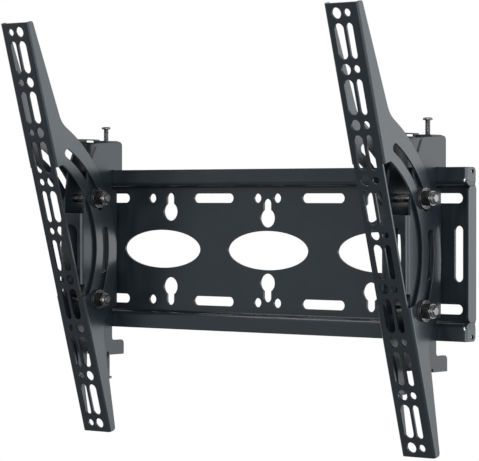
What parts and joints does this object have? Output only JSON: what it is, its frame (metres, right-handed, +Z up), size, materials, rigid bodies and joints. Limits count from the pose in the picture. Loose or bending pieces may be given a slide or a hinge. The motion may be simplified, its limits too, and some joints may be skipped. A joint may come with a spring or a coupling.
{
  "type": "tilting tv wall bracket",
  "caption": "Folded steel wall plate with two sliding hook brackets and two tall tilting arms with rows of screw holes for a flat television.",
  "frame": {"origin": "centre of the wall plate's back face", "axes": "+X along the wall to the right, +Y into the wall, +Z up; the television hangs at -Y"},
  "size_m": [0.4762, 0.1426, 0.4026],
  "materials": {
    "powder_coat": "fine satin powder coat",
    "dark_zinc": "dark zinc plate",
    "friction_plastic": "matt"
  },
  "bodies": {
    "wall_plate": {"wall_plate": "powder_coat"},
    "hook_left": {"hook_bracket_left": "powder_coat", "tilt_bolt_left_upper": "dark_zinc", "tilt_bolt_left_lower": "dark_zinc", "tilt_nut_left_upper": "dark_zinc", "tilt_nut_left_lower": "dark_zinc", "nut_washer_left_upper": "dark_zinc", "nut_washer_left_lower": "dark_zinc", "head_washer_left_upper": "dark_zinc", "head_washer_left_lower": "dark_zinc", "friction_washers_left_upper": "friction_plastic", "friction_washers_left_lower": "friction_plastic"},
    "arm_left": {"tv_arm_left": "powder_coat"},
    "adjuster_left": {"adjusting_screw_left": "dark_zinc"},
    "lock_left": {"security_screw_left": "dark_zinc"},
    "hook_right": {"hook_bracket_right": "powder_coat", "tilt_bolt_right_upper": "dark_zinc", "tilt_bolt_right_lower": "dark_zinc", "tilt_nut_right_upper": "dark_zinc", "tilt_nut_right_lower": "dark_zinc", "nut_washer_right_upper": "dark_zinc", "nut_washer_right_lower": "dark_zinc", "head_washer_right_upper": "dark_zinc", "head_washer_right_lower": "dark_zinc", "friction_washers_right_upper": "friction_plastic", "friction_washers_right_lower": "friction_plastic"},
    "arm_right": {"tv_arm_right": "powder_coat"},
    "adjuster_right": {"adjusting_screw_right": "dark_zinc"},
    "lock_right": {"security_screw_right": "dark_zinc"}
  },
  "joints": [
    {"name": "rail_slide_left", "type": "slide", "parent": "wall_plate", "child": "hook_left", "axis": [1, 0, 0], "range_m": [-0.019, 0.16]},
    {"name": "tilt_left", "type": "hinge", "parent": "hook_left", "child": "arm_left", "pos_m": [-0.2002, -0.138, 0], "axis": [1, 0, 0], "range_deg": [-32.8, 0]},
    {"name": "adjuster_screw_left", "type": "slide", "parent": "hook_left", "child": "adjuster_left", "axis": [0, 0, 1], "range_m": [0, 0.015]},
    {"name": "security_screw_left", "type": "slide", "parent": "hook_left", "child": "lock_left", "axis": [0, 0, 1], "range_m": [-0.012, 0.012]},
    {"name": "rail_slide_right", "type": "slide", "parent": "wall_plate", "child": "hook_right", "axis": [1, 0, 0], "range_m": [-0.15, 0.028]},
    {"name": "tilt_right", "type": "hinge", "parent": "hook_right", "child": "arm_right", "pos_m": [0.1912, -0.138, 0], "axis": [1, 0, 0], "range_deg": [-32.8, 0]},
    {"name": "adjuster_screw_right", "type": "slide", "parent": "hook_right", "child": "adjuster_right", "axis": [0, 0, 1], "range_m": [-0.0015, 0.0135]},
    {"name": "security_screw_right", "type": "slide", "parent": "hook_right", "child": "lock_right", "axis": [0, 0, 1], "range_m": [-0.012, 0.012]}
  ]
}
